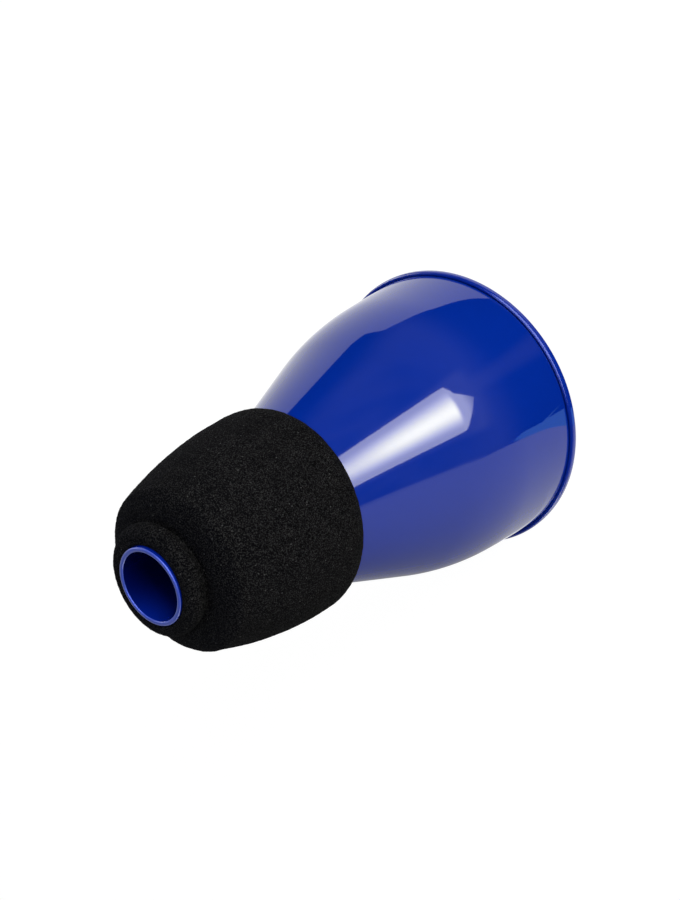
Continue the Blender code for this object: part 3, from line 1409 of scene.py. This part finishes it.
@dataclass(frozen=True)
class Camera:
    """The photograph's view: from the front and above, rolled so that the mute lies slantwise."""

    spot: Spot = (0.00846, -0.40749, 0.46309)
    dip: float = 43.907
    roll: float = -119.77
    lens: float = 56.52
    sensor: float = 36.0
    clip: Span = (0.01, 60.0)

    def build(self) -> bpy.types.Object:
        """Sets the scene's camera.

        Returns:
            The camera object.
        """
        data = bpy.data.cameras.new("photo_view")
        data.lens = self.lens
        data.sensor_width = self.sensor
        data.clip_start, data.clip_end = self.clip
        camera = linked("photo_view", data)
        level = Matrix.Rotation(HALF_PI - math.radians(self.dip), 4, "X")
        rolled = level @ Matrix.Rotation(math.radians(self.roll), 4, "Z")
        camera.matrix_world = Matrix.Translation(self.spot) @ rolled
        bpy.context.scene.camera = camera
        return camera


@dataclass
class Stage:
    """The pale floor, the white surround, the lamps and the cards that gloss shows."""

    floor_radius: float = 7.0
    floor_sides: int = 96
    floor_drop: float = 0.0002
    floor_colour: float = 0.8
    floor_glow: float = 0.96
    shadow_weight: float = 0.14
    side_fill: float = 0.60
    top_fill: float = 0.10
    card_lift: float = 0.0004
    far: float = 3.2
    drape_turns: range = range(-150, -29, 24)
    drape_distance: float = 3.4
    drape_heights: Span = (0.0, 4.0)
    window_distance: float = 1.6
    window_heights: Span = (0.25, 1.5)
    dark_room: Light = Light(0.04)
    window_light: Light = Light(7.0)
    high_light: Light = Light(6.0, (0.70, 0.84, 1.55))
    # Painted reflection: the light of a small bluish card that only gloss shows, for a glint on the shell.
    painted_glint_light: Light = Light(1.0, (0.36, 0.85, 1.60))
    camera: Camera = Camera()
    lamps: tuple[Lamp, ...] = (
        Lamp("front_softbox", azimuth=-72.0, elevation=18.0, distance=1.3, width=0.6, level=0.66),
        Lamp("floor_bounce", azimuth=-146.0, elevation=-5.0, distance=0.24, width=0.18, level=0.21, aim=0.05),
        Lamp("right_bounce", azimuth=-12.0, elevation=4.0, distance=0.5, width=0.3, level=0.07, aim=0.04),
    )

    def white_rays(self, sheet: NodeSheet) -> Socket:
        """1 for the rays that show the white surround.

        Args:
            sheet: The sheet of the floor or of the world.

        Returns:
            1 to the eye, in gloss and through glass, and 0 for the light that falls on things.
        """
        path = sheet.add("ShaderNodeLightPath", {}).outputs
        both = sheet.maths("ADD", path["Is Camera Ray"], path["Is Glossy Ray"], True)
        return sheet.maths("ADD", both, path["Is Transmission Ray"], True)

    def build_world(self) -> None:
        """Surrounds the stage with white, which lights it more softly than it shows."""
        sheet = NodeSheet(bpy.data.worlds.new("white_surround"), "ShaderNodeOutputWorld")
        way = sheet.add("ShaderNodeTexCoord", {}).outputs["Generated"]
        height = sheet.add("ShaderNodeSeparateXYZ", {"Vector": way}).outputs["Z"]
        falling = {"Value": height, "To Min": self.side_fill, "To Max": self.top_fill}
        fill = sheet.add("ShaderNodeMapRange", falling).outputs["Result"]
        chosen = {"Value": self.white_rays(sheet), "To Min": fill}
        level = sheet.add("ShaderNodeMapRange", chosen).outputs["Result"]
        shown = {"Color": (*WHITE, 1), "Strength": level}
        bpy.context.scene.world = sheet.finish(sheet.add("ShaderNodeBackground", shown))

    def build_floor(self) -> bpy.types.Object:
        """Lays the pale floor, which shows white but keeps the mute's soft shadow.

        Returns:
            The floor.
        """
        work = bmesh.new()
        drop = Matrix.Translation((0, 0, -self.floor_drop))
        bmesh.ops.create_circle(
            work, cap_ends=True, segments=self.floor_sides, radius=self.floor_radius, matrix=drop
        )
        floor = meshed("pale_floor", work)
        sheet = NodeSheet(bpy.data.materials.new("pale_floor"))
        paper, shade = (
            sheet.add("ShaderNodeBsdfDiffuse", {"Color": (*tint(WHITE, grey), 1)})
            for grey in (self.floor_colour, self.shadow_weight)
        )
        glow = sheet.add("ShaderNodeEmission", {"Color": (*WHITE, 1), "Strength": self.floor_glow})
        lit = sheet.add("ShaderNodeAddShader", {0: shade.outputs[0], 1: glow.outputs[0]})
        sockets = {0: self.white_rays(sheet), 1: paper.outputs[0], 2: lit.outputs[0]}
        floor.data.materials.append(sheet.finish(sheet.add("ShaderNodeMixShader", sockets)))
        show_to(floor, Seen.BY_ALL)
        return floor

    def on_floor(self, *spots: Point, layer: int = 1) -> Corners:
        """Corners of a card that lies on the floor, in the given layer."""
        return tuple((x, y, self.card_lift * layer) for x, y in spots)

    def floor_cards(self) -> list[Card]:
        """The dark cloth in front, the softbox's strip on it, the shaded floor and a small card of painted
        bluish reflection.

        Returns:
            The cards.
        """
        far = self.far
        cloth = self.on_floor(
            (-0.031, -0.057), (0.038, -0.0531), (0.0546, -0.0506), (0.0743, -0.0474), (0.0920, -0.0474),
            (0.1134, -0.0474), (0.142, -0.0450), (0.151, -0.0400), (0.168, -0.020), (0.370, 0.027),
            (far, 0.44), (far, -far), (-3.1, -far), (-0.20, -0.245),
        )
        strip = self.on_floor(
            (0.001, -0.164), (0.034, -0.223), (0.074, -0.250), (0.86, -2.6), (-0.85, -2.6), (-0.074, -0.247),
            layer=2,
        )
        shade = self.on_floor(
            (-0.035, -0.06), (-0.655, -0.794), (-1.8, -0.794), (-1.8, 1.8), (0.5, 1.8), (0.02, 0.065),
            (-0.04, 0.055), (-0.066, 0.01), (-0.06, -0.03),
        )
        # Painted reflection: a small bluish card beside the flange, seen only in gloss, that lays a bluish
        # glint on the shell.
        patch = self.on_floor(
            (-0.0595, -0.0915), (-0.0535, -0.0875), (-0.0455, -0.0805), (-0.0405, -0.0745),
            (-0.0355, -0.0690), (-0.0320, -0.0662), (-0.0285, -0.0648), (-0.0262, -0.0632),
            (-0.0220, -0.0605), (-0.0215, -0.0560), (-0.0310, -0.0545), (-0.0355, -0.0605),
            (-0.0410, -0.0675), (-0.0450, -0.0717), (-0.0515, -0.0795),
            layer=3,
        )
        return [
            Card("dark_cloth", cloth, ClothLight()),
            Card("softbox_strip", strip, SoftboxLight()),
            Card("shaded_floor", shade, ShadeLight()),
            Card("painted_blue_glint", patch, self.painted_glint_light),
        ]

    def hung_cards(self) -> list[Card]:
        """The dark room in front and overhead, the softbox high in front and the side windows.

        Returns:
            The cards.
        """
        drapes = [
            standing(turn, turn + self.drape_turns.step, self.drape_distance, self.drape_heights)
            for turn in self.drape_turns
        ]
        right, left = (
            standing(start, end, self.window_distance, self.window_heights)
            for start, end in ((30.0, 44.0), (150.0, 168.0))
        )
        high = facing(azimuth=-66.0, elevation=62.0, distance=1.6, width=1.4, height=1.6)
        ceiling = facing(azimuth=0.0, elevation=90.0, distance=2.4, width=6.6, height=6.6)
        return [
            *(Card(f"dark_drape_{index}", drape, self.dark_room) for index, drape in enumerate(drapes)),
            Card("high_softbox", high, self.high_light),
            Card("dark_ceiling", ceiling, self.dark_room),
            Card("right_window", right, self.window_light),
            Card("left_window", left, self.window_light),
        ]

    def build(self) -> None:
        """Sets the camera, the surround, the floor, the lamps and the cards."""
        self.camera.build()
        self.build_world()
        self.build_floor()
        cards = self.floor_cards() + self.hung_cards()
        for thing in (*self.lamps, *cards):
            thing.build()
        bpy.context.scene.view_settings.view_transform = "Standard"
        log.info("stage: %d lamps, %d cards", len(self.lamps), len(cards))


def main() -> None:
    """Builds the stage and then the mute, from the wide end to the nose."""
    logging.basicConfig(level=logging.INFO, format="%(asctime)s %(name)s: %(message)s")
    Stage().build()
    shell = Shell(GlossPlastic((0.0009, 0.0235, 0.30)))
    cap_plastic = CapPlastic(
        (0.001, 0.023, 0.32), roughness=0.15, haze=0.02, peel_depth=0.0000008, swell_depth=0.000008
    )
    # The pad's coarser foam; its pore colour is painted shade in the pores too.
    pad_foam = Foam(wall=(0.05, 0.05, 0.053), pore_shade=(0.012, 0.012, 0.013), cell_size=0.0011, pore_depth=0.0003)
    shell.build()
    EndCap(shell, cap_plastic, SatinPlastic(), pad_foam).build()
    ThroatTube(TubePlastic((0.001, 0.016, 0.27), roughness=0.12)).build()
    NoseRing(shell, Foam(), Grain()).build()
    Collar(shell, Foam(), Grain()).build()


if __name__ == "__main__":
    main()
